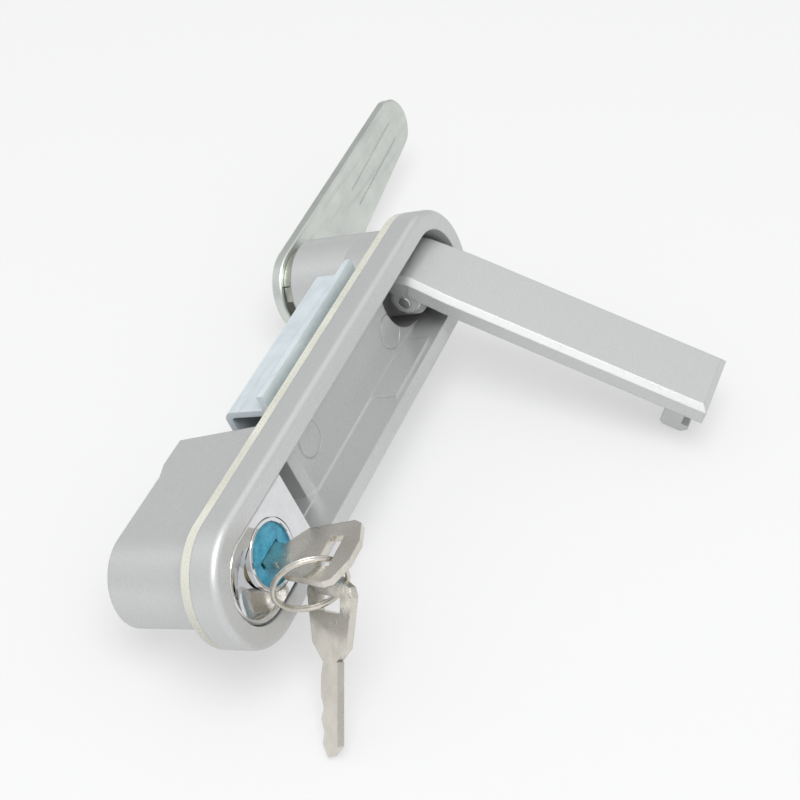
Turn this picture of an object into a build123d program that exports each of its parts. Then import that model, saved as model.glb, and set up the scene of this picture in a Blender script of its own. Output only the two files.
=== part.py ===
from build123d import *
import math
import os

# Swing handle lock for a cabinet door.
# Drawn lying on its back: X runs along the lock towards the spindle end,
# Y across it, Z out of the front face. Z = 0 is the back of the flange and
# the origin is on the spindle axis. stand_up() then turns every piece so that
# +Y points into the panel and +Z is up.

# ---- housing, all in millimetres ----
FLANGE_HALF = 19.0          # half width of the front flange
SPAN = 126.5                # spindle axis to the centre of the round lock end
FLANGE_T = 8.0              # flange thickness
FLANGE_ROUND = 1.8          # rounding of the flange's front edge
RECESS_HALF = 12.95         # half width of the handle recess at the face
RECESS_DRAFT = 1.6          # draft of the recess walls, degrees
RECESS_DEPTH = 10.74        # face to recess floor
FLOOR_WALL = 2.2            # thickness of the recess floor
WELL_R = 12.5               # round well around the spindle head
WELL_SLOT = 5.4             # the well runs on this far towards the lock
WELL_DEPTH = 13.1           # well floor below the flange back
WELL_WALL = 2.1             # wall around the well
BOSS_END = 36.3             # rear end of the spindle boss
POCKET_TOP = SPAN - 44.4    # start of the hook pocket, from the spindle axis
POCKET_LENGTH = 18.1
POCKET_END = POCKET_TOP + POCKET_LENGTH
POCKET_DEPTH = 12.0         # hook pocket floor below the flange back
LOWER_HALF = 12.4           # half width of pocket and button recess below the recess floor
SHELF_DEPTH = 7.7           # floor under the push button
SHELF_BACK = 14.0           # underside of that floor
BLOCK_HALF = 13.9           # half width of the lock block
BLOCK_WALL = 2.2            # its wall
BLOCK_BACK = 31.3           # rear edge of the lock block
BLOCK_STEP = 1.5            # the upper part of the block stands this much deeper
BLOCK_TOP = POCKET_TOP + 0.6  # front corner of the block's upper end
BLOCK_RAKE = 5.4            # lean of the upper end over its depth
STEP_FROM = 28.5            # the deeper part starts this far above the lock end's centre
STEP_TO = 23.5              # and its slope ends here
BORE_RUN = 24.0             # straight run of the round lower outlines above that centre
CORE_RUN = 10.0             # straight core of the hollow above that centre
BELOW_RUN = 20.0            # run of the button recess past its upper edge
MARK_R = 5.5                # round mould marks in the recess floor
MARK_LINE = 0.4             # width of the line around a mark
MARK_DEPTH = 0.2
COVE = 0.9                  # rounding between recess floor and walls
STEP_X = 42.9               # one recess wall is thicker from here to STEP_END
STEP_END = 15.9
STEP_DEPTH = 0.75           # by this much at the face
STEP_TOP = 6.1              # top of the thicker part above the flange back
DIVIDER = 1.3               # divider between pocket and button recess
DIVIDER_TOP = 3.0           # top of the divider below the flange back

# ---- gasket and clamp bracket ----
GASKET_T = 2.8
GASKET_HALF = FLANGE_HALF - 0.1
BRACKET_T = 2.0             # sheet thickness
BRACKET_GAP = 0.25          # sheet to dish, each side
PANEL = 2.1                 # thickest panel between gasket and bracket
BRACKET_FRONT = GASKET_T + PANEL  # lip face below the flange back
BRACKET_BACK = 21.0         # rear face of the web
BRACKET_START = 19.0        # upper end, from the spindle axis
BRACKET_END = POCKET_TOP - 1.8  # lower end, just short of the block
LIP = 4.8                   # outward reach of each lip
BEND_R = 1.2                # inside bend radius
BEND_OUT = BEND_R + BRACKET_T - 0.3  # outside bend radius, thinned a little by bending
HOLE_ROOM = 0.3             # plain holes are this much larger than what passes through
CORNER_CUT = 6.2            # cut at the upper rear corners
POST_R = 5.5                # screw posts on the back of the dish
POST_IN = (10.0, 6.0)       # screw posts from the bracket's upper and lower end
POST_X = (-BRACKET_START - POST_IN[0], -BRACKET_END + POST_IN[1])
MARKS = ((POST_X[1], 0), (POST_X[0] + 8.5, -5.5))
SCREW_R = 2.0               # bracket screws
SCREW_HEAD_R = 3.8
SCREW_HEAD_T = 2.4
SCREW_LENGTH = 9.0
SCREW_FIT = 0.02            # thread crest to post hole
SCREW_HEAD_ROUND = 0.8
SCREW_SHORT = 0.5           # screw tip short of its hole's end
SOCKET_R = 1.7              # hexagon socket, corner from its middle
SOCKET_DEPTH = 1.3

# ---- spindle, washers, cam ----
PIN_X = -2.4                # hinge pin from the spindle axis, handle closed
PIN_DEPTH = 0.3             # hinge pin below the flange back
PIN_R = 2.0
PIN_PROUD = 0.2             # pin beyond the hinge ears, each end
PIN_EDGE = 0.3              # broken edges of its ends
LUG_R = 6.4                 # round top of the spindle head
LUG_HALF = 8.5              # half width of the spindle head
NECK = (-8.8, 1.4)          # sides of the neck under the head
BASE_TOP = 10.2             # spindle collar, top face below the flange back
COLLAR_R = 12.0
SHAFT_R = 8.0
RUNNING = 0.05              # radial running clearance of turning fits
SEAT = 0.1                  # gap between faces that slide on each other
SEAL_X = 20.0               # depth of the O-ring
SEAL_D = 1.7
SQUARE = 10.0               # driving square for washer and cam
SQUARE_ROUND = 1.3          # its corners lie this much inside the shaft
SQUARE_SHORT = 0.3          # its end stands back from the cam's rear face
SEAL_GROOVE = 0.2           # O-ring groove wider than the ring, each side
FIXED_WASHER_T = 2.0
MOVING_WASHER_T = 2.1
WASHER_R = 12.4
STOP_ANGLE = 154.5          # where the fixed stop tab stands
STOP_HALF = 11.0            # half angle of the tab
TURN = 90.0                 # travel of the spindle
STOP_SPARE = 1.5            # spare angle beyond the stop at each end
CAM_T = 3.2
CAM_BASE_R = 13.95
CAM_TIP_R = 8.9
CAM_REACH = 82.9            # spindle axis to the centre of the cam's tip
CAM_SKEW = 4.7              # lean of the blade, degrees
CAM_EDGE = 0.4              # broken front edge of the blade
RIB_START = 44.0            # two pressed lines along the blade
RIB_END_IN = 3.0
RIB_HALF = 3.0              # each line from the middle of the blade
RIB_W = 0.7
RIB_DEPTH = 0.25
CAM_SCREW_R = 3.0
SPRING_WASHER_T = 1.6
SPRING_WASHER_R = 7.6
CAM_HEAD_R = 5.4
CAM_HEAD_T = 4.0
CAM_SCREW_LENGTH = 12.0

# ---- handle ----
LIFT = 54.0                 # the handle is drawn lifted by this angle
HANDLE_HALF = 12.0
HANDLE_TOP = 9.3            # outer face from the pin
HANDLE_SIDE = 6.0           # height of the handle's side
HANDLE_BEVEL = 1.7
HANDLE_REACH = POCKET_TOP + 13.1  # pin to the free end
HANDLE_WALL = 2.2
NOSE_HALF = 11.3            # half width at the hinge
TAPER_LENGTH = 12.0         # length over which the side narrows to the hinge
EAR_R = 4.8
EAR_HALF = 11.0
EAR_CHAMFER = 1.1
CHEEK_LESS = 1.5            # cheek above the ear narrower than the ear
EAR_ROOM = 0.3              # ear to the side of the spindle head
CURL_SPAN = 70.0            # the rear end curls round the pin by this angle
HOOK_HALF = 5.0
HOOK_DEPTH = 19.5           # hook tip from the outer face
HOOK_X = (-POCKET_TOP - 12.9, -POCKET_TOP - 4.3)
NOTCH = (13.0, 16.6)        # notch for the latch, from the outer face
NOTCH_DEPTH = 2.4

# ---- push button and lock cylinder ----
BUTTON_EDGE = 0.2           # button edge to the divider
BUTTON_TOP = POCKET_END + DIVIDER + BUTTON_EDGE  # straight upper edge of the button
BUTTON_HALF = 12.55
BUTTON_SINK = 0.4           # button face below the flange face
BUTTON_T = 2.5
PLATE_EDGE = 0.5            # chamfer round the button's face
SKIRT_T = 1.5
SKIRT_INSET = 0.4           # skirt inside the plate's edge
SKIRT_END = 0.8             # skirt end below the flange back
PRESS = 2.6                 # travel of the button
SCOOP_X = -SPAN - 2.1       # centre of the thumb scoop
SCOOP_R = 9.7
SCOOP_DEPTH = 2.3
SCOOP_BACK = 1.2            # the plate is thicker behind the scoop
LOCK_X = -SPAN + 7.5        # cylinder axis
BARREL_R = 8.7
BARREL_END = 17.0
BEZEL_R = 9.6
BEZEL_RISE = 0.2            # ring above the button face
BEZEL_SEAT = 1.6            # ring let into the button
BEZEL_GAP = 0.2             # fine gap round the ring
BEZEL_EDGE = 0.2
COVER_SINK = 0.7            # cover below the button face
PLUG_R = 6.0
COVER_R = 8.45
COVER_T = 0.9
KEYWAY = 9.4                # height of the keyway
KEYWAY_W = 2.3
KEYWAY_END = 13.6
CLIP_T = 1.0
CLIP_R = 10.4
CLIP_GROOVE = 0.8
CLIP_MOUTH = 3.0            # half width of the clip's opening
TONGUE_T = 2.5
TONGUE_W = 7.0
TONGUE_REACH = 10.6
STUB_HALF = 2.2             # half width across the flats that drive the tongue
STUB_FIT = 0.03             # tongue to the stub
SCREW_WEB = 1.2             # metal between keyway and screw hole
TONGUE_SCREW_R = 1.5
TONGUE_HEAD_R = 3.6
TONGUE_HEAD_T = 2.0
SLOT_HALF = 2.0             # screwdriver slot: half length, width and depth
SLOT_W = 0.8
SLOT_DEPTH = 0.9
LEDGE_IN = 2.6              # ledge that the locked tongue stands on
LEDGE_HALF = 4.0
LEDGE_T = 4.0

# ---- latch slide ----
LATCH_TOP = 5.2             # latch plate below the flange back
LATCH_T = 2.4
LATCH_HALF = 5.0
LATCH_TIP = POCKET_TOP + 11.3  # nose, from the spindle axis
LATCH_LENGTH = 14.0
LATCH_END = LATCH_TIP + LATCH_LENGTH
DRIVE = 0.9                 # latch travel for each millimetre of button travel
LEG_T = 2.0
LEG_HALF = 2.8
LEG_AT = LATCH_END - 2.7    # leg centre where it crosses the latch
LEG_FIT = 0.12
LEG_TIP = 2.2               # leg tip beyond the middle of the latch
LEG_ROOM = 0.3              # leg to the opening in the shelf
SPRING_X = -SPAN - 6.1      # button return spring
SPRING_R = 3.3
SPRING_WIRE = 0.45
SPRING_TURNS = 4.0
SPRING_SEAT = 2.5           # depth of its seat in the shelf
SPRING_ROOM = 0.4           # coil to the wall of its seat
SPRING_GUIDE = 2.0          # stud on the button inside the coil

# ---- keys and ring ----
KEY_T = 2.0
KEY_SHOULDER = 11.0         # shoulder of the key in the lock, above flange back
BLADE = 24.0
BLADE_HALF = 4.2
BOW = ((0.0, 3.0), (4.4, 8.2), (17.5, 10.9), (20.0, 9.8), (22.3, 3.5))
RING_SLOT = (12.8, 17.0)
RING_SLOT_HALF = 5.3
RING_R = 9.75
RING_COIL = (1.2, 0.9)       # radial and axial size of one coil
COIL_EDGE = 0.35            # broken edges of the ring's flat wire
RING_AT = (LOCK_X - 5.1, -5.7, 19.1)
RING_AXIS = (0.803, 0.261, -0.536)
KEY2_ANGLE = 88.0           # where the second key hangs on the ring, degrees
KEY2_DROP = 2.0             # ring centre line from the slot's near edge
KEY2_SLIDE = -3.2           # ring from the middle of the slot
KEY2_ALONG = (-0.658, -0.751, -0.058)
KEY2_FACE = (-0.673, 0.621, -0.403)

FACE = FLANGE_T
PLATE_TOP = FACE - BUTTON_SINK
PLATE_BACK = PLATE_TOP - BUTTON_T


def stadium(half, start, end, bottom, top):
    """Long slot shape between two round ends, from Z = bottom to Z = top."""
    middle = (start + end) / 2
    flat = Pos(middle, 0) * SlotCenterToCenter(abs(start - end), 2 * half)
    return extrude(Pos(0, 0, bottom) * flat, amount=top - bottom)


def rod(radius, bottom, top, x=0.0, y=0.0):
    """Upright cylinder from Z = bottom to Z = top."""
    return Pos(x, y, (bottom + top) / 2) * Cylinder(radius, top - bottom)


def bar(x_low, x_high, y_low, y_high, z_low, z_high):
    """Rectangular block between six planes."""
    centre = Pos((x_low + x_high) / 2, (y_low + y_high) / 2, (z_low + z_high) / 2)
    return centre * Box(x_high - x_low, y_high - y_low, z_high - z_low)


def side_profile(points, half):
    """Closed outline drawn in X and Z, given a thickness across Y."""
    outline = Plane.XZ * make_face(Polyline(*points, close=True))
    return extrude(outline, amount=half, both=True)


def stand_up(shape):
    """Turn a piece from the drawing position to the part's own frame."""
    return Rot(90, 0, 0) * shape


def turned(shape):
    """Quarter turn about the spindle axis: the handle stands across the lock."""
    return Rot(0, 0, 90) * shape


def about_pin(shape, angle):
    """Swing a piece about the hinge pin, positive is out of the recess."""
    pin = Pos(PIN_X, 0, -PIN_DEPTH)
    return pin * Rot(0, angle, 0) * pin.inverse() * shape


def leg_centre(height):
    """X of the leg's sloping centre line at a height, button not pressed."""
    cross = -LATCH_TOP - LATCH_T / 2
    return -LEG_AT - DRIVE * (height - cross)


def housing():
    floor = FACE - RECESS_DEPTH
    floor_back = floor - FLOOR_WALL
    flange = stadium(FLANGE_HALF, 0, -SPAN, 0, FACE)
    flange = fillet(flange.edges().group_by(Axis.Z)[-1], FLANGE_ROUND)
    dish = stadium(BLOCK_HALF, 0, -SPAN, floor_back, 0)
    well_body = stadium(WELL_R + WELL_WALL, 0, -WELL_SLOT, -WELL_DEPTH - WELL_WALL, 0)
    boss = rod(WELL_R + WELL_WALL, -BOSS_END, 0)
    deep = BLOCK_BACK + BLOCK_STEP
    outline = [
        (-BLOCK_TOP, 0),
        (-BLOCK_TOP - BLOCK_RAKE, -deep),
        (-SPAN + STEP_FROM, -deep),
        (-SPAN + STEP_TO, -BLOCK_BACK),
        (-SPAN - FLANGE_HALF, -BLOCK_BACK),
        (-SPAN - FLANGE_HALF, 0),
    ]
    block = side_profile(outline, BLOCK_HALF) & stadium(BLOCK_HALF, 0, -SPAN, -deep, 0)
    inner = BLOCK_HALF - BLOCK_WALL
    hollow = stadium(inner, -SPAN + BORE_RUN, -SPAN, -deep - 1, -SHELF_BACK)
    lean = BLOCK_TOP + BLOCK_RAKE + BLOCK_WALL
    hollow += bar(-SPAN + CORE_RUN, -lean, -inner, inner, -deep - 1, -SHELF_BACK)
    hollow &= bar(-SPAN - inner, -lean, -inner, inner, -deep - 1, -SHELF_BACK)
    block -= hollow
    for x in POST_X:
        dish += rod(POST_R, -BRACKET_BACK + BRACKET_T, floor_back + 0.5, x)
    body = flange + dish + well_body + boss + block

    slot = Plane(origin=(0, 0, FACE), x_dir=(1, 0, 0), z_dir=(0, 0, -1))
    mouth = slot * Pos(-SPAN / 2, 0) * SlotCenterToCenter(SPAN, 2 * RECESS_HALF)
    recess = extrude(mouth, amount=RECESS_DEPTH, taper=RECESS_DRAFT)
    recess = fillet(recess.edges().group_by(Axis.Z)[0], COVE)
    body -= recess
    pad_in = RECESS_HALF - STEP_DEPTH
    body += bar(-STEP_X, -STEP_END, -RECESS_HALF - 0.3, -pad_in, floor - 0.2, STEP_TOP)
    body -= stadium(WELL_R, 0, -WELL_SLOT, -WELL_DEPTH, floor + 1)
    pocket_outline = [
        (-POCKET_TOP, floor + 1),
        (-POCKET_TOP, floor),
        (-POCKET_TOP - 2.4, floor_back),
        (-POCKET_TOP - 3.3, -POCKET_DEPTH),
        (-POCKET_END, -POCKET_DEPTH),
        (-POCKET_END, floor + 1),
    ]
    body -= side_profile(pocket_outline, LOWER_HALF)
    shelf_start = -POCKET_END - DIVIDER
    below = stadium(LOWER_HALF, shelf_start - BELOW_RUN, -SPAN, -SHELF_DEPTH, floor + 1)
    below += bar(-SPAN, shelf_start, -LOWER_HALF, LOWER_HALF, -SHELF_DEPTH, floor + 1)
    wide = FLANGE_HALF
    below &= bar(-SPAN - wide, shelf_start, -wide, wide, -SHELF_DEPTH, floor + 1)
    body -= below
    body -= bar(shelf_start, -POCKET_END, -LOWER_HALF, LOWER_HALF, -DIVIDER_TOP, floor + 1)
    for x, y in MARKS:
        line = rod(MARK_R, floor - MARK_DEPTH, floor + 1, x, y)
        body -= line - rod(MARK_R - MARK_LINE, floor - 1, floor + 2, x, y)
    guide = LATCH_HALF + SEAT
    guide_low = -LATCH_TOP - LATCH_T - SEAT
    body -= bar(shelf_start - 1, -POCKET_END + 1, -guide, guide, guide_low, -LATCH_TOP + SEAT)
    body -= rod(BARREL_R + RUNNING, -SHELF_BACK - 1, 0, LOCK_X)
    cross = -LATCH_TOP - LATCH_T / 2
    leg_far = leg_centre(PRESS - SHELF_DEPTH) - LEG_T / 2 - LEG_ROOM
    leg_near = leg_centre(cross - LEG_TIP) + LEG_T / 2 + LEG_ROOM
    leg_side = LEG_HALF + LEG_ROOM
    body -= bar(leg_far, leg_near, -leg_side, leg_side, -SHELF_BACK - 1, -SHELF_DEPTH + 1)
    body -= rod(SPRING_R + SPRING_WIRE + SPRING_ROOM, -SHELF_DEPTH - SPRING_SEAT, 0, SPRING_X)
    ledge_top = BARREL_END + SEAT + TONGUE_T + SEAT
    ledge_end = LOCK_X + LEDGE_HALF
    ledge_in = inner - LEDGE_IN
    body += bar(LOCK_X - LEDGE_HALF, ledge_end, ledge_in, inner + 0.5, -ledge_top - LEDGE_T, -ledge_top)
    body -= rod(SHAFT_R + RUNNING, -BOSS_END - 1, 0)
    for x in POST_X:
        hole_end = -BRACKET_BACK + BRACKET_T + SCREW_LENGTH
        body -= rod(SCREW_R + SCREW_FIT, -BRACKET_BACK, hole_end, x)
    return body


def gasket():
    ring = stadium(GASKET_HALF, 0, -SPAN, -GASKET_T, 0)
    ring -= stadium(WELL_R + WELL_WALL + HOLE_ROOM, 0, -SPAN, -GASKET_T, 0)
    return ring


def bends(sheet, side, height):
    """Edges along the bracket at a distance either side of the middle and at a height."""
    along = sheet.edges().filter_by(Axis.X)
    near = [e for e in along if abs(e.center().Z - height) < 0.01]
    return [e for e in near if abs(abs(e.center().Y) - side) < 0.01]


def clamp_bracket():
    inner = BLOCK_HALF + BRACKET_GAP
    outer = inner + BRACKET_T
    reach = outer + LIP
    section = [
        (-reach, -BRACKET_FRONT),
        (-inner, -BRACKET_FRONT),
        (-inner, -BRACKET_BACK + BRACKET_T),
        (inner, -BRACKET_BACK + BRACKET_T),
        (inner, -BRACKET_FRONT),
        (reach, -BRACKET_FRONT),
        (reach, -BRACKET_FRONT - BRACKET_T),
        (outer, -BRACKET_FRONT - BRACKET_T),
        (outer, -BRACKET_BACK),
        (-outer, -BRACKET_BACK),
        (-outer, -BRACKET_FRONT - BRACKET_T),
        (-reach, -BRACKET_FRONT - BRACKET_T),
    ]
    face = Plane.YZ * make_face(Polyline(*section, close=True))
    sheet = Pos(-BRACKET_END, 0, 0) * extrude(face, amount=BRACKET_END - BRACKET_START)
    web = -BRACKET_BACK + BRACKET_T
    lip_back = -BRACKET_FRONT - BRACKET_T
    sheet = fillet(bends(sheet, inner, web) + bends(sheet, outer, lip_back), BEND_R)
    outside = bends(sheet, outer, -BRACKET_BACK) + bends(sheet, inner, -BRACKET_FRONT)
    sheet = fillet(outside, BEND_OUT)
    cut = [
        (-BRACKET_START + 1, -BRACKET_BACK + BRACKET_T),
        (-BRACKET_START - CORNER_CUT, -BRACKET_BACK),
        (-BRACKET_START - CORNER_CUT, -BRACKET_BACK - 1),
        (-BRACKET_START + 1, -BRACKET_BACK - 1),
    ]
    sheet -= side_profile(cut, outer + 1)
    for x in POST_X:
        sheet -= rod(SCREW_R + HOLE_ROOM, -BRACKET_BACK - 1, -BRACKET_BACK + BRACKET_T + 1, x)
    return sheet


def bracket_screw(x):
    head = rod(SCREW_HEAD_R, -BRACKET_BACK - SCREW_HEAD_T, -BRACKET_BACK, x)
    head = fillet(head.edges().group_by(Axis.Z)[0], SCREW_HEAD_ROUND)
    shank = rod(SCREW_R, -BRACKET_BACK, -BRACKET_BACK + BRACKET_T + SCREW_LENGTH - SCREW_SHORT, x)
    hexagon = Pos(x, 0, -BRACKET_BACK - SCREW_HEAD_T) * RegularPolygon(SOCKET_R, 6)
    socket = extrude(hexagon, amount=SOCKET_DEPTH)
    return head + shank - socket


def spindle():
    head = Pos(PIN_X, 0, -PIN_DEPTH) * Rot(90, 0, 0) * Cylinder(LUG_R, 2 * LUG_HALF)
    neck = bar(NECK[0], NECK[1], -LUG_HALF, LUG_HALF, -BASE_TOP - 1, -PIN_DEPTH)
    head += neck
    collar = rod(COLLAR_R, -WELL_DEPTH + SEAT, -BASE_TOP)
    head = head & rod(COLLAR_R, -WELL_DEPTH, FACE)
    square_end = -cam_back() - SQUARE_SHORT
    shaft = rod(SHAFT_R, -BOSS_END - FIXED_WASHER_T - SEAT, -WELL_DEPTH + 1)
    square = bar(-SQUARE / 2, SQUARE / 2, -SQUARE / 2, SQUARE / 2, -square_end, -BOSS_END)
    square &= rod(SHAFT_R - SQUARE_ROUND, -square_end, -BOSS_END)
    body = head + collar + shaft + square
    groove_half = SEAL_D / 2 + SEAL_GROOVE
    groove = rod(SHAFT_R + 1, -SEAL_X - groove_half, -SEAL_X + groove_half)
    groove -= rod(SHAFT_R - SEAL_D - 0.05, -SEAL_X - SEAL_D, -SEAL_X + SEAL_D)
    body -= groove
    hole = Pos(PIN_X, 0, -PIN_DEPTH) * Rot(90, 0, 0) * Cylinder(PIN_R + RUNNING, 4 * LUG_HALF)
    body -= hole
    body -= rod(CAM_SCREW_R + SCREW_FIT, -square_end - 1, -square_end + CAM_SCREW_LENGTH)
    return turned(body)


def spindle_seal():
    half = SEAL_D / 2 - 0.04
    section = Plane.XZ * (Pos(SHAFT_R - SEAL_D / 2, 0) * RegularPolygon(half, 8))
    return Pos(0, 0, -SEAL_X) * revolve(section, Axis.Z, 360)


def washer_blank(top, thickness):
    return rod(WASHER_R, top - thickness, top)


def fixed_washer():
    top = -BOSS_END
    blank = washer_blank(top, FIXED_WASHER_T) - rod(SHAFT_R + HOLE_ROOM, top - 9, top)
    tab_top = top - FIXED_WASHER_T
    tab = rod(WASHER_R, tab_top - MOVING_WASHER_T, top)
    tab -= rod(WASHER_R - FIXED_WASHER_T, tab_top - 9, top + 1)
    keep = wedge(STOP_ANGLE, STOP_HALF, tab_top - 9, top + 1)
    return blank + (tab & keep)


def wedge(middle, half, bottom, top):
    """Slice of a disc centred on a direction in the XY plane."""
    far = 3 * WASHER_R
    low = math.radians(middle - half)
    high = math.radians(middle + half)
    mid = math.radians(middle)
    points = [
        (0, 0),
        (far * math.cos(low), far * math.sin(low)),
        (2 * far * math.cos(mid), 2 * far * math.sin(mid)),
        (far * math.cos(high), far * math.sin(high)),
    ]
    return extrude(Pos(0, 0, bottom) * make_face(Polyline(*points, close=True)), amount=top - bottom)


def moving_washer():
    top = -BOSS_END - FIXED_WASHER_T - SEAT
    blank = washer_blank(top, MOVING_WASHER_T)
    ring = rod(WASHER_R + 1, top - 9, top + 1)
    ring -= rod(WASHER_R - FIXED_WASHER_T - HOLE_ROOM, top - 9, top + 1)
    half = TURN / 2 + STOP_HALF + STOP_SPARE
    swing = ring & wedge(STOP_ANGLE + TURN / 2, half, top - 9, top + 1)
    return blank - swing - square_hole(top)


def square_hole(top):
    side = SQUARE / 2 + RUNNING
    hole = bar(-side, side, -side, side, top - 9, top + 1)
    return hole & rod(SHAFT_R - SQUARE_ROUND + RUNNING, top - 9, top + 1)


def cam():
    top = -BOSS_END - FIXED_WASHER_T - MOVING_WASHER_T - 2 * SEAT
    lean = math.asin((CAM_BASE_R - CAM_TIP_R) / CAM_REACH)
    base = (CAM_BASE_R * math.sin(lean), CAM_BASE_R * math.cos(lean))
    tip = (CAM_REACH + CAM_TIP_R * math.sin(lean), CAM_TIP_R * math.cos(lean))
    points = [base, tip, (tip[0], -tip[1]), (base[0], -base[1])]
    blade = extrude(make_face(Polyline(*points, close=True)), amount=-CAM_T)
    blade += rod(CAM_BASE_R, -CAM_T, 0)
    blade += rod(CAM_TIP_R, -CAM_T, 0, CAM_REACH)
    blade = chamfer(blade.edges().group_by(Axis.Z)[-1], CAM_EDGE)
    line = bar(RIB_START, CAM_REACH - RIB_END_IN, -RIB_W / 2, RIB_W / 2, -RIB_DEPTH, 1)
    for side in (-1, 1):
        blade -= Pos(0, side * RIB_HALF, 0) * line
    return Pos(0, 0, top) * Rot(0, 0, CAM_SKEW) * blade - square_hole(top)


def cam_back():
    return -BOSS_END - FIXED_WASHER_T - MOVING_WASHER_T - 2 * SEAT - CAM_T


def spring_washer():
    ring = rod(SPRING_WASHER_R, cam_back() - SPRING_WASHER_T, cam_back())
    ring -= rod(CAM_SCREW_R + HOLE_ROOM, cam_back() - 9, cam_back() + 1)
    return ring


def cam_screw():
    under = cam_back() - SPRING_WASHER_T
    head = extrude(Pos(0, 0, under) * RegularPolygon(CAM_HEAD_R, 6), amount=-CAM_HEAD_T)
    shank = rod(CAM_SCREW_R, under, under + CAM_SCREW_LENGTH)
    return head + shank


def hinge_pin():
    pin = Cylinder(PIN_R, 2 * (EAR_HALF + PIN_PROUD))
    pin = chamfer(pin.edges().filter_by(GeomType.CIRCLE), PIN_EDGE)
    pin = Pos(PIN_X, 0, -PIN_DEPTH) * Rot(90, 0, 0) * pin
    return turned(pin)


def handle():
    top = HANDLE_TOP
    under = top - HANDLE_SIDE
    plan = [
        (0, -NOSE_HALF),
        (0, NOSE_HALF),
        (-TAPER_LENGTH, HANDLE_HALF),
        (-HANDLE_REACH, HANDLE_HALF),
        (-HANDLE_REACH, -HANDLE_HALF),
        (-TAPER_LENGTH, -HANDLE_HALF),
    ]
    grip = extrude(Pos(0, 0, under) * make_face(Polyline(*plan, close=True)), amount=HANDLE_SIDE)
    rim = [e for e in grip.edges() if abs(e.center().Z - top) < 0.01 and e.center().X < -0.5]
    grip = chamfer(rim, HANDLE_BEVEL)
    grip -= handle_channel(under)
    grip += rear_curl()
    for side in (-1, 1):
        grip += ear(side, under)
    grip += hook(top)
    hole = Rot(90, 0, 0) * Cylinder(PIN_R + RUNNING, 4 * HANDLE_HALF)
    grip -= hole
    grip = Pos(PIN_X, 0, -PIN_DEPTH) * grip
    return turned(about_pin(grip, LIFT))


def handle_channel(under):
    """Hollow underside between the walls, drawn from the pin."""
    inner = LUG_HALF + EAR_ROOM
    wide = HANDLE_HALF - HANDLE_WALL
    plan = [
        (1, -inner),
        (1, inner),
        (-TAPER_LENGTH, wide),
        (-HANDLE_REACH + HANDLE_WALL, wide),
        (-HANDLE_REACH + HANDLE_WALL, -wide),
        (-TAPER_LENGTH, -wide),
    ]
    face = Pos(0, 0, under - 1) * make_face(Polyline(*plan, close=True))
    return extrude(face, amount=HANDLE_SIDE + 1 - HANDLE_WALL)


def rear_curl():
    """Rear end rolled round the pin, drawn from the pin."""
    shell_in = HANDLE_TOP - HANDLE_WALL
    inner = LUG_HALF + EAR_ROOM
    profile = [
        (shell_in, 0),
        (HANDLE_TOP, 0),
        (HANDLE_TOP, NOSE_HALF - HANDLE_BEVEL),
        (HANDLE_TOP - HANDLE_BEVEL, NOSE_HALF),
        (HANDLE_TOP - HANDLE_SIDE, EAR_HALF),
        (1, EAR_HALF),
        (1, inner),
        (shell_in, inner),
    ]
    half = Plane(origin=(0, 0, 0), x_dir=(0, 0, 1), z_dir=(1, 0, 0))
    face = half * make_face(Polyline(*[(r, -y) for r, y in profile], close=True))
    one = revolve(face, Axis.Y, CURL_SPAN)
    return one + mirror(one, Plane.XZ)


def ear(side, under):
    """One hinge ear beside the spindle head, drawn from the pin."""
    width = EAR_HALF - LUG_HALF - EAR_ROOM
    disc = Rot(90, 0, 0) * Cylinder(EAR_R, width)
    y = side * (EAR_HALF + LUG_HALF + EAR_ROOM) / 2
    outer = [e for e in disc.edges().filter_by(GeomType.CIRCLE) if e.center().Y * side > 0]
    disc = chamfer(outer, EAR_CHAMFER)
    cheek = Box(2 * EAR_R - CHEEK_LESS, width, under + 1)
    return Pos(0, y, 0) * (disc + Pos(0, 0, (under + 1) / 2) * cheek)


def hook(top):
    """Catch under the free end of the handle, drawn from the pin."""
    back = HOOK_X[0] - PIN_X
    front = HOOK_X[1] - PIN_X
    tip = top - HOOK_DEPTH
    outline = [
        (back, top - HANDLE_WALL + 0.2),
        (back, top - NOTCH[0]),
        (back + NOTCH_DEPTH, top - NOTCH[0]),
        (back + NOTCH_DEPTH, top - NOTCH[1]),
        (back, top - NOTCH[1]),
        (back, tip + 1.6),
        (back + 1.6, tip),
        (front - 1.0, tip),
        (front, tip + 1.0),
        (front, top - HANDLE_WALL + 0.2),
    ]
    return side_profile(outline, HOOK_HALF)


def button_outline(half, top_edge, bottom, top):
    body = stadium(half, -SPAN + BORE_RUN, -SPAN, bottom, top)
    return body & bar(-SPAN - FLANGE_HALF, -top_edge, -half, half, bottom, top)


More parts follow.
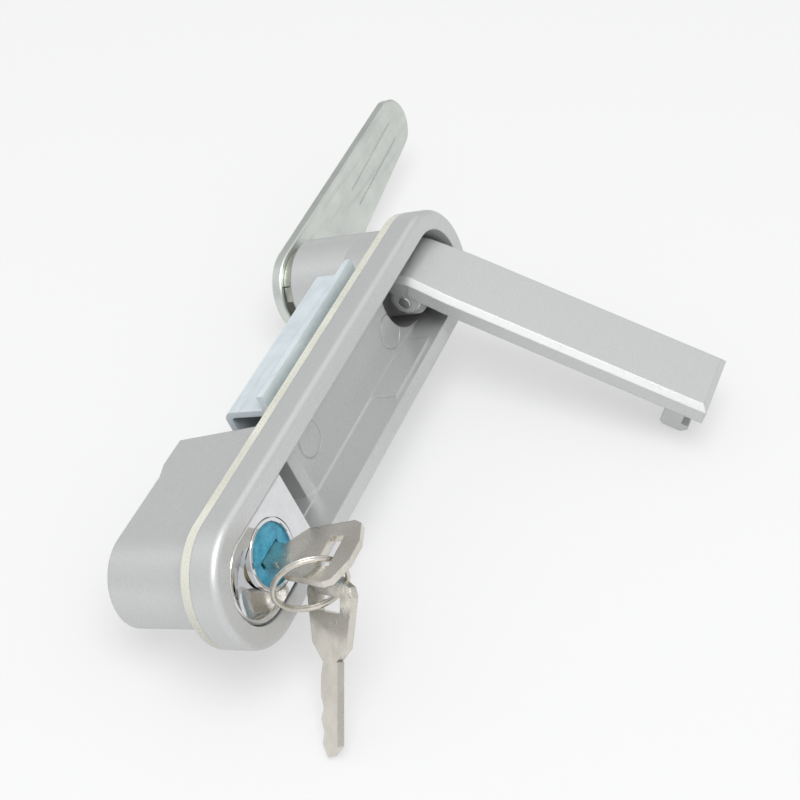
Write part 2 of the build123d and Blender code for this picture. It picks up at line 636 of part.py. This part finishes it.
def lock_button():
    plate = button_outline(BUTTON_HALF, BUTTON_TOP, PLATE_BACK, PLATE_TOP)
    outer = BUTTON_HALF - SKIRT_INSET
    edge = BUTTON_TOP + SKIRT_INSET
    skirt = button_outline(outer, edge, -SKIRT_END, PLATE_BACK)
    skirt -= button_outline(outer - SKIRT_T, edge + SKIRT_T, -SKIRT_END - 1, PLATE_BACK + 1)
    rim = plate.edges().group_by(Axis.Z)[-1]
    plate = chamfer(rim, PLATE_EDGE)
    plate += rod(SCOOP_R, PLATE_BACK - SCOOP_BACK, PLATE_BACK, SCOOP_X)
    ball_r = (SCOOP_R ** 2 + SCOOP_DEPTH ** 2) / (2 * SCOOP_DEPTH)
    plate -= Pos(SCOOP_X, 0, PLATE_TOP + ball_r - SCOOP_DEPTH) * Sphere(ball_r)
    cross = -LATCH_TOP - LATCH_T / 2
    slope_top = cross + PRESS + LATCH_T / 2 + 0.5
    tip = cross - LEG_TIP
    half = LEG_T / 2
    high = leg_centre(slope_top)
    low = leg_centre(tip)
    leg = [
        (high - half, PLATE_BACK + 0.5),
        (high - half, slope_top),
        (low - half, tip),
        (low + half, tip),
        (high + half, slope_top),
        (high + half, PLATE_BACK + 0.5),
    ]
    body = plate + skirt + side_profile(leg, LEG_HALF)
    guide_end = PLATE_BACK - SCOOP_BACK - SPRING_GUIDE
    body += rod(SPRING_R - SPRING_WIRE - 0.3, guide_end, PLATE_BACK - SCOOP_BACK, SPRING_X)
    body -= rod(BARREL_R + RUNNING, -SKIRT_END - 3, FACE + 1, LOCK_X)
    body -= rod(BEZEL_R + BEZEL_GAP, PLATE_TOP - BEZEL_SEAT, FACE + 1, LOCK_X)
    return body


def cylinder_body():
    barrel = rod(BARREL_R, -BARREL_END, PLATE_TOP - BEZEL_SEAT, LOCK_X)
    barrel -= rod(PLUG_R + RUNNING, -BARREL_END - 1, FACE, LOCK_X)
    clip_top = -SHELF_BACK - SEAT
    groove = rod(BARREL_R + 1, clip_top - CLIP_T - 0.05, clip_top + 0.05, LOCK_X)
    groove -= rod(BARREL_R - CLIP_GROOVE, clip_top - 3, clip_top + 3, LOCK_X)
    return barrel - groove


def retaining_clip():
    top = -SHELF_BACK - SEAT
    ring = rod(CLIP_R, top - CLIP_T, top, LOCK_X)
    ring -= rod(BARREL_R - CLIP_GROOVE + RUNNING, top - 3, top + 1, LOCK_X)
    return ring - bar(LOCK_X - CLIP_R - 1, LOCK_X, -CLIP_MOUTH, CLIP_MOUTH, top - 3, top + 1)


def bezel_ring():
    ring = rod(BEZEL_R, PLATE_TOP - BEZEL_SEAT, PLATE_TOP + BEZEL_RISE, LOCK_X)
    ring -= rod(COVER_R + RUNNING, PLATE_TOP - BEZEL_SEAT - 1, FACE + 3, LOCK_X)
    return chamfer(ring.edges().group_by(Axis.Z)[-1], BEZEL_EDGE)


def cover_bottom():
    return PLATE_TOP - COVER_SINK - COVER_T


def keyway(bottom, top):
    return bar(LOCK_X - KEYWAY / 2, LOCK_X + KEYWAY / 2, -KEYWAY_W / 2, KEYWAY_W / 2, bottom, top)


def plug():
    body = rod(PLUG_R, -BARREL_END, cover_bottom() - SEAT / 2, LOCK_X)
    stub = rod(PLUG_R / 2, -BARREL_END - SEAT - TONGUE_T, -BARREL_END, LOCK_X)
    stub &= bar(LOCK_X - PLUG_R, LOCK_X + PLUG_R, -STUB_HALF, STUB_HALF, -BARREL_END - 9, 0)
    body += stub
    body -= keyway(-KEYWAY_END, FACE)
    body -= rod(TONGUE_SCREW_R + SCREW_FIT, -BARREL_END - 9, -KEYWAY_END - SCREW_WEB, LOCK_X)
    return body


def dust_cover():
    disc = rod(COVER_R, cover_bottom(), cover_bottom() + COVER_T, LOCK_X)
    return disc - keyway(-KEYWAY_END, FACE + 3)


def tongue():
    top = -BARREL_END - SEAT
    plate = bar(LOCK_X - TONGUE_REACH, LOCK_X, -TONGUE_W / 2, TONGUE_W / 2, top - TONGUE_T, top)
    plate += rod(TONGUE_W / 2, top - TONGUE_T, top, LOCK_X)
    flat = STUB_HALF + STUB_FIT
    hole = rod(PLUG_R / 2 + STUB_FIT, top - 9, top + 1, LOCK_X)
    hole &= bar(LOCK_X - PLUG_R, LOCK_X + PLUG_R, -flat, flat, top - 9, top + 1)
    return plate - hole


def tongue_screw():
    under = -BARREL_END - SEAT - TONGUE_T
    head = rod(TONGUE_HEAD_R, under - TONGUE_HEAD_T, under, LOCK_X)
    shank = rod(TONGUE_SCREW_R, under, -KEYWAY_END - SCREW_WEB - 0.4, LOCK_X)
    slot_floor = under - TONGUE_HEAD_T + SLOT_DEPTH
    cross = bar(LOCK_X - SLOT_HALF, LOCK_X + SLOT_HALF, -SLOT_W / 2, SLOT_W / 2, under - 9, slot_floor)
    return head + shank - cross


def latch():
    top = -LATCH_TOP
    plate = bar(-LATCH_END, -LATCH_TIP, -LATCH_HALF, LATCH_HALF, top - LATCH_T, top)
    cross = top - LATCH_T / 2
    half = LEG_T / 2 + LEG_FIT
    low = cross - 3
    high = cross + 3
    window = [
        (-LEG_AT - half - DRIVE * (high - cross), high),
        (-LEG_AT - half + DRIVE * (cross - low), low),
        (-LEG_AT + half + DRIVE * (cross - low), low),
        (-LEG_AT + half - DRIVE * (high - cross), high),
    ]
    return plate - side_profile(window, LEG_HALF + LEG_FIT)


def button_spring():
    bottom = -SHELF_DEPTH - SPRING_SEAT + SPRING_WIRE
    top = PLATE_BACK - SCOOP_BACK - SPRING_WIRE
    height = top - bottom
    path = Helix(pitch=height / SPRING_TURNS, height=height, radius=SPRING_R)
    start = Plane(origin=path @ 0, z_dir=path % 0)
    coil = sweep(start * RegularPolygon(SPRING_WIRE, 6), path=path, is_frenet=True)
    return Pos(SPRING_X, 0, bottom) * coil


def key_shape():
    """Key lying in the XY plane: shoulder at the origin, bow along +X."""
    right = [(u, v) for u, v in BOW]
    left = [(u, -v) for u, v in reversed(BOW)]
    bow = make_face(Polyline(*(right + left), close=True))
    body = extrude(bow, amount=KEY_T / 2, both=True)
    blade = [
        (0.5, BLADE_HALF - 1.6),
        (0.5, -BLADE_HALF),
        (-BLADE + 3, -BLADE_HALF),
        (-BLADE, -0.5),
        (-BLADE, 0.5),
        (-BLADE + 3, BLADE_HALF - 1.4),
        (-BLADE + 6, BLADE_HALF - 2.2),
        (-BLADE + 9, BLADE_HALF - 0.6),
        (-BLADE + 12, BLADE_HALF - 1.8),
        (-BLADE + 15, BLADE_HALF - 0.4),
        (-4, BLADE_HALF - 0.4),
    ]
    body += extrude(make_face(Polyline(*blade, close=True)), amount=KEY_T / 2, both=True)
    body -= bar(RING_SLOT[0], RING_SLOT[1], -RING_SLOT_HALF, RING_SLOT_HALF, -KEY_T, KEY_T)
    return body


def key_1():
    seat = Plane(origin=(LOCK_X, 0, KEY_SHOULDER), x_dir=(0, 0, 1), z_dir=(0, 1, 0))
    return seat * key_shape()


def key_2():
    along = Vector(*KEY2_ALONG).normalized()
    face = Vector(*KEY2_FACE).normalized()
    across = face.cross(along * -1)
    hang = ring_plane().from_local_coords(Vector(RING_R, 0, 0).rotate(Axis.Z, KEY2_ANGLE))
    origin = hang + along * (RING_SLOT[0] + KEY2_DROP) + across * KEY2_SLIDE
    seat = Plane(origin=origin, x_dir=along * -1, z_dir=face)
    return seat * key_shape()


def ring_plane():
    return Plane(origin=RING_AT, z_dir=RING_AXIS)


def key_ring():
    wide, tall = RING_COIL
    place = ring_plane()
    groove = COIL_EDGE / 2
    outline = [
        (wide / 2 - COIL_EDGE, tall),
        (wide / 2, tall - COIL_EDGE),
        (wide / 2, groove),
        (wide / 2 - groove, 0),
        (wide / 2, -groove),
        (wide / 2, -tall + COIL_EDGE),
        (wide / 2 - COIL_EDGE, -tall),
    ]
    inside = [(-r, z) for r, z in reversed(outline)]
    section = [(RING_R + r, z) for r, z in outline + inside]
    return place * revolve(Plane.XZ * make_face(Polyline(*section, close=True)), Axis.Z, 360)


PIECES = {
    "housing": housing(),
    "gasket": gasket(),
    "clamp_bracket": clamp_bracket(),
    "bracket_screw_upper": bracket_screw(POST_X[0]),
    "bracket_screw_lower": bracket_screw(POST_X[1]),
    "fixed_washer": fixed_washer(),
    "spindle": spindle(),
    "spindle_seal": spindle_seal(),
    "moving_washer": moving_washer(),
    "cam": cam(),
    "spring_washer": spring_washer(),
    "cam_screw": cam_screw(),
    "hinge_pin": hinge_pin(),
    "handle": handle(),
    "lock_button": lock_button(),
    "cylinder_body": cylinder_body(),
    "retaining_clip": retaining_clip(),
    "bezel_ring": bezel_ring(),
    "plug": plug(),
    "dust_cover": dust_cover(),
    "tongue": tongue(),
    "tongue_screw": tongue_screw(),
    "latch": latch(),
    "button_spring": button_spring(),
    "key_1": key_1(),
    "key_ring": key_ring(),
    "key_2": key_2(),
}

os.makedirs("parts", exist_ok=True)
for name, piece in PIECES.items():
    export_step(stand_up(piece), f"parts/{name}.step")
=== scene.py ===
import bpy
from mathutils import Matrix, Vector

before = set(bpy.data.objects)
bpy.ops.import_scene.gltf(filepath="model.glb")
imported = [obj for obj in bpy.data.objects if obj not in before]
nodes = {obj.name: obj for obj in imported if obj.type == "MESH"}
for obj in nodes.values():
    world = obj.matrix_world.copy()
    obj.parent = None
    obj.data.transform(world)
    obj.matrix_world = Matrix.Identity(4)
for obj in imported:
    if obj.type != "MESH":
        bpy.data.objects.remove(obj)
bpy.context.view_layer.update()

MIDDLE = Vector((-0.05, 0.0, 0.0))              # the lock's own middle, for aiming lamps
UP = Vector((0.0, -0.39, 0.92)).normalized()    # away from the table the lock lies on
SIDE = Vector((1.0, 0.0, 0.0))                  # along the lock
BACK = UP.cross(SIDE)                           # across the table, square to the lock

LENS = 77.07                                    # focal length in mm
CAMERA_PLACE = (-0.36960, -0.27154, 0.25184)
CAMERA_RIGHT = (0.36858, -0.84457, -0.38839)
CAMERA_DOWN = (-0.65788, 0.05819, -0.75087)
CAMERA_FORWARD = (0.65676, 0.53227, -0.53418)

FLOOR_REACH = 4.0                               # from its middle to each side
FLOOR_DROP = 0.0005                             # below the lowest point of the lock
FLOOR_UNSEEN = (0.60, 0.60, 0.61, 1.0)          # colour that lights the lock from below
FLOOR_SEEN = (0.31, 0.31, 0.31, 1.0)            # colour that the camera and shiny metal see
FLOOR_GLOW = 0.50                               # lifts what they see to near white
ROOM_COLOUR = (0.985, 0.99, 1.0, 1.0)
ROOM_FROM = (-0.6, 0.9)                         # how far a direction points to the bright side
ROOM_STRENGTH = (0.16, 1.0)                     # and the light that comes from there

STAIN = (0.62, 0.62, 0.60)                      # shade laid over plate where it is stained


# ---------- camera ----------
def make_camera():
    """Set the camera, and return the directions right, up and towards the viewer."""
    data = bpy.data.cameras.new("camera")
    data.lens = LENS
    data.sensor_width = 36.0
    data.clip_start = 0.01
    data.clip_end = 20.0
    camera = bpy.data.objects.new("camera", data)
    bpy.context.scene.collection.objects.link(camera)
    right = Vector(CAMERA_RIGHT).normalized()
    up = -Vector(CAMERA_DOWN).normalized()
    back = -Vector(CAMERA_FORWARD).normalized()
    turn = Matrix((right, up, back)).transposed().to_4x4()
    camera.matrix_world = Matrix.Translation(CAMERA_PLACE) @ turn
    bpy.context.scene.camera = camera
    return right, up, back


# ---------- shader helpers ----------
class Shader:
    """A node material built step by step."""

    def __init__(self, name):
        self.material = bpy.data.materials.new(name)
        self.material.use_nodes = True
        self.tree = self.material.node_tree
        self.bsdf = self.tree.nodes["Principled BSDF"]
        self.coords = self.tree.nodes.new("ShaderNodeTexCoord")

    def put(self, **values):
        for key, value in values.items():
            self.bsdf.inputs[key.replace("_", " ")].default_value = value
        return self

    def node(self, kind, **values):
        made = self.tree.nodes.new(kind)
        for key, value in values.items():
            if hasattr(made, key):
                setattr(made, key, value)
            else:
                made.inputs[key.replace("_", " ")].default_value = value
        return made

    def link(self, a, b):
        self.tree.links.new(a, b)

    def stretch(self, scale, turn):
        mapping = self.node("ShaderNodeMapping")
        mapping.inputs["Scale"].default_value = scale
        mapping.inputs["Rotation"].default_value = turn
        self.link(self.coords.outputs["Object"], mapping.inputs["Vector"])
        return mapping.outputs["Vector"]

    def noise(self, scale, detail=2.0, rough=0.5, vector=None):
        made = self.node("ShaderNodeTexNoise", Scale=scale, Detail=detail, Roughness=rough)
        self.link(vector or self.coords.outputs["Object"], made.inputs["Vector"])
        return made.outputs["Fac"]

    def ramp(self, fac, stops):
        made = self.node("ShaderNodeValToRGB")
        elements = made.color_ramp.elements
        while len(elements) < len(stops):
            elements.new(0.5)
        for element, (place, colour) in zip(elements, stops):
            element.position = place
            element.color = (*colour, 1.0)
        self.link(fac, made.inputs["Fac"])
        return made.outputs["Color"]

    def spread(self, fac, low, high, start=0.3, end=0.7):
        made = self.node("ShaderNodeMapRange")
        made.inputs["From Min"].default_value = start
        made.inputs["From Max"].default_value = end
        made.inputs["To Min"].default_value = low
        made.inputs["To Max"].default_value = high
        self.link(fac, made.inputs["Value"])
        return made.outputs["Result"]

    def darken(self, colour, fac, shade):
        """Lay a shade over a colour where fac is high."""
        made = self.node("ShaderNodeMix", data_type="RGBA", blend_type="MULTIPLY")
        self.link(fac, made.inputs["Factor"])
        self.link(colour, made.inputs["A"])
        made.inputs["B"].default_value = (*shade, 1.0)
        return made.outputs["Result"]

    def bump(self, fac, strength, distance, edge):
        """Fine relief, over edges softened by a radius in metres."""
        made = self.node("ShaderNodeBump", Strength=strength, Distance=distance)
        self.link(fac, made.inputs["Height"])
        soft = self.node("ShaderNodeBevel", samples=4, Radius=edge)
        self.link(soft.outputs["Normal"], made.inputs["Normal"])
        return made.outputs["Normal"]

    def wire(self, socket, name):
        self.link(socket, self.bsdf.inputs[name])
        return self


# ---------- materials ----------
def paint(name, light, dark):
    """Silver-grey stoved paint with a fine metal grain."""
    s = Shader(name).put(Metallic=0.55, IOR=1.5)
    grain = s.noise(4200.0, 3.0, 0.6)
    s.wire(s.ramp(grain, [(0.30, dark), (0.72, light)]), "Base Color")
    s.wire(s.spread(s.noise(900.0, 2.0), 0.34, 0.44), "Roughness")
    s.wire(s.bump(grain, 0.12, 0.00008, 0.0005), "Normal")
    return s.material


def plated(
    name, light, dark, rough=(0.26, 0.42), scale=(60.0, 400.0, 400.0), turn=(0, 0, 0), metal=1.0
):
    """Metal or plate with rolling streaks and faint blotches."""
    s = Shader(name).put(Metallic=metal)
    streak = s.noise(1.0, 4.0, 0.6, s.stretch(scale, turn))
    cloud = s.noise(90.0, 4.0, 0.65)
    colour = s.ramp(cloud, [(0.32, dark), (0.66, light)])
    stain = s.spread(streak, 0.0, 0.35, 0.55, 0.75)
    s.wire(s.darken(colour, stain, STAIN), "Base Color")
    s.wire(s.spread(streak, *rough), "Roughness")
    s.wire(s.bump(streak, 0.12, 0.0001, 0.0003), "Normal")
    return s.material


def polished(name, colour, rough=0.07):
    """Bright chrome with faint smears."""
    s = Shader(name).put(Metallic=1.0)
    smear = s.noise(320.0, 3.0, 0.6)
    dull = tuple(0.9 * c for c in colour)
    s.wire(s.ramp(smear, [(0.3, dull), (0.7, colour)]), "Base Color")
    s.wire(s.spread(smear, rough * 0.6, rough * 1.6), "Roughness")
    return s.material


def plastic(name, colour, deep, rough=0.3, scale=600.0):
    """Moulded plastic or rubber."""
    s = Shader(name).put(Metallic=0.0, IOR=1.5)
    s.wire(s.ramp(s.noise(scale, 3.0, 0.6), [(0.35, deep), (0.65, colour)]), "Base Color")
    s.wire(s.spread(s.noise(2000.0, 2.0), rough * 0.8, rough * 1.2), "Roughness")
    return s.material


def milky(name):
    """Clear rubber, a little yellow."""
    s = Shader(name).put(Metallic=0.0, IOR=1.45, Transmission_Weight=0.1, Subsurface_Weight=0.25)
    s.put(Subsurface_Radius=(0.003, 0.003, 0.002), Subsurface_Scale=0.3)
    stops = [(0.3, (0.58, 0.58, 0.50)), (0.7, (0.70, 0.70, 0.62))]
    s.wire(s.ramp(s.noise(60.0, 3.0), stops), "Base Color")
    s.wire(s.spread(s.noise(900.0, 2.0), 0.22, 0.40), "Roughness")
    return s.material


def use(material, *names):
    for name in names:
        mesh = nodes[name].data
        mesh.materials.clear()
        mesh.materials.append(material)


# ---------- stage ----------
def make_floor():
    """A plain pale table under the lock, with the shadow that falls on it."""
    low = min(
        (obj.matrix_world @ v.co).dot(UP) for obj in nodes.values() for v in obj.data.vertices
    )
    middle = UP * (low - FLOOR_DROP)
    signs = ((-1, -1), (1, -1), (1, 1), (-1, 1))
    corners = [middle + SIDE * FLOOR_REACH * a + BACK * FLOOR_REACH * b for a, b in signs]
    mesh = bpy.data.meshes.new("floor")
    mesh.from_pydata(corners, [], [(0, 1, 2, 3)])
    floor = bpy.data.objects.new("floor", mesh)
    bpy.context.scene.collection.objects.link(floor)
    s = Shader("floor").put(Roughness=0.9)
    seen = seen_rays(s.tree)
    mix = s.node("ShaderNodeMix", data_type="RGBA")
    s.link(seen, mix.inputs["Factor"])
    mix.inputs["A"].default_value = FLOOR_UNSEEN
    mix.inputs["B"].default_value = FLOOR_SEEN
    s.wire(mix.outputs["Result"], "Base Color")
    glow = s.node("ShaderNodeMath", operation="MULTIPLY")
    s.link(seen, glow.inputs[0])
    glow.inputs[1].default_value = FLOOR_GLOW
    s.wire(glow.outputs[0], "Emission Strength")
    mesh.materials.append(s.material)


def seen_rays(tree):
    """1 for rays from the camera and for those that metal or glass throws back."""
    path = tree.nodes.new("ShaderNodeLightPath")
    total = path.outputs["Is Camera Ray"]
    for name in ("Is Glossy Ray", "Is Transmission Ray"):
        add = tree.nodes.new("ShaderNodeMath")
        add.operation = "MAXIMUM"
        tree.links.new(total, add.inputs[0])
        tree.links.new(path.outputs[name], add.inputs[1])
        total = add.outputs[0]
    return total


def make_world(bright):
    """Soft light that falls off from the bright side of the room to the other."""
    world = bpy.data.worlds.new("world")
    bpy.context.scene.world = world
    world.use_nodes = True
    tree = world.node_tree
    coords = tree.nodes.new("ShaderNodeTexCoord")
    dot = tree.nodes.new("ShaderNodeVectorMath")
    dot.operation = "DOT_PRODUCT"
    dot.inputs[1].default_value = bright.normalized()
    tree.links.new(coords.outputs["Generated"], dot.inputs[0])
    ramp = tree.nodes.new("ShaderNodeMapRange")
    ramp.inputs["From Min"].default_value = ROOM_FROM[0]
    ramp.inputs["From Max"].default_value = ROOM_FROM[1]
    ramp.inputs["To Min"].default_value = ROOM_STRENGTH[0]
    ramp.inputs["To Max"].default_value = ROOM_STRENGTH[1]
    tree.links.new(dot.outputs["Value"], ramp.inputs["Value"])
    background = tree.nodes["Background"]
    background.inputs["Color"].default_value = ROOM_COLOUR
    tree.links.new(ramp.outputs["Result"], background.inputs["Strength"])


def area_light(name, place, size, power):
    """A round lamp aimed at the middle of the lock: metres and watts."""
    data = bpy.data.lights.new(name, "AREA")
    data.shape = "DISK"
    data.size = size
    data.energy = power
    lamp = bpy.data.objects.new(name, data)
    bpy.context.scene.collection.objects.link(lamp)
    aim = (MIDDLE - place).to_track_quat("-Z", "Y").to_matrix().to_4x4()
    lamp.matrix_world = Matrix.Translation(place) @ aim


view_right, view_up, view_back = make_camera()
make_floor()
make_world(UP * 0.6 + view_right * 0.05 + view_back * 0.5)
above = MIDDLE + UP * 0.80 + view_right * 0.05 + view_back * 0.55
area_light("key", above, 0.9, 10.5)
left = MIDDLE + UP * 0.5 - view_right * 0.8 + view_up * 0.2
area_light("band", left, 0.5, 0.25)

silver = paint("silver_paint", (0.635, 0.64, 0.635), (0.50, 0.505, 0.505))
zinc = plated("zinc_plate", (0.72, 0.79, 0.82), (0.60, 0.67, 0.70), (0.36, 0.5), metal=0.35)
blade = plated(
    "zinc_blade", (0.72, 0.75, 0.71), (0.62, 0.65, 0.62),
    rough=(0.34, 0.5), scale=(30.0, 420.0, 420.0), turn=(0, 0, -0.08),
)
washer = plated("olive_zinc", (0.50, 0.51, 0.45), (0.36, 0.37, 0.33))
steel = plated("bright_steel", (0.62, 0.62, 0.62), (0.48, 0.48, 0.48))
nickel = plated(
    "nickel", (0.72, 0.69, 0.63), (0.62, 0.59, 0.53),
    rough=(0.20, 0.32), scale=(300.0, 300.0, 60.0),
)
chrome = polished("chrome", (0.74, 0.75, 0.76))
brass = plated("brass", (0.72, 0.60, 0.34), (0.60, 0.48, 0.26))
blue = plastic("blue_plastic", (0.05, 0.32, 0.46), (0.02, 0.20, 0.31), 0.25, 420.0)
black = plastic("black_rubber", (0.03, 0.03, 0.03), (0.02, 0.02, 0.02), 0.6)
clear = milky("gasket")
use(silver, "housing", "handle")
use(clear, "gasket")
use(zinc, "clamp_bracket", "bracket_screw_upper", "bracket_screw_lower", "tongue")
use(blade, "cam")
use(washer, "fixed_washer", "moving_washer")
use(steel, "spring_washer", "cam_screw", "spindle", "hinge_pin")
use(steel, "retaining_clip", "button_spring", "tongue_screw", "latch")
use(black, "spindle_seal")
use(chrome, "lock_button", "bezel_ring")
use(brass, "cylinder_body", "plug")
use(blue, "dust_cover")
use(nickel, "key_1", "key_2", "key_ring")

bpy.context.scene.view_settings.view_transform = "Standard"
